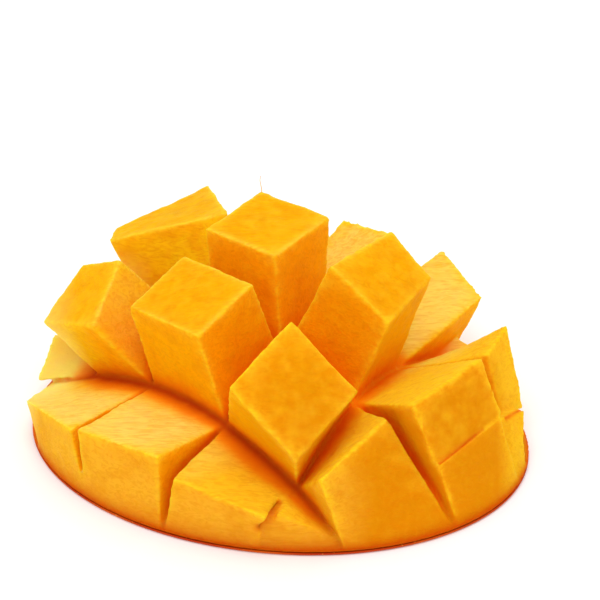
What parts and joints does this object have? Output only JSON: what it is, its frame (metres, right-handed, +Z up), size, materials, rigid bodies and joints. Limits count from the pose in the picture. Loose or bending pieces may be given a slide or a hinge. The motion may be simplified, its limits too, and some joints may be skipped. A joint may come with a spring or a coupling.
{
  "type": "cubed mango half",
  "caption": "Mango half scored into cubes and turned inside out, so the cubes of flesh fan up over the skin. Lies on its skin side as a serving of fruit.",
  "frame": {"origin": "middle of the bounding box in plan, on the surface the fruit lies on", "axes": "+X along the fruit's length, towards its right end; +Y towards the back; +Z up, through the cubes"},
  "size_m": [0.1126, 0.0946, 0.0491],
  "materials": {
    "mango_flesh": "moist fruit flesh, soft sheen, lighter along the cut edges and darker in the score lines",
    "mango_skin": "waxy peel, red turning to orange, with small pale dots"
  },
  "bodies": {
    "root": {"mango_half": "mango_flesh"}
  },
  "joints": []
}
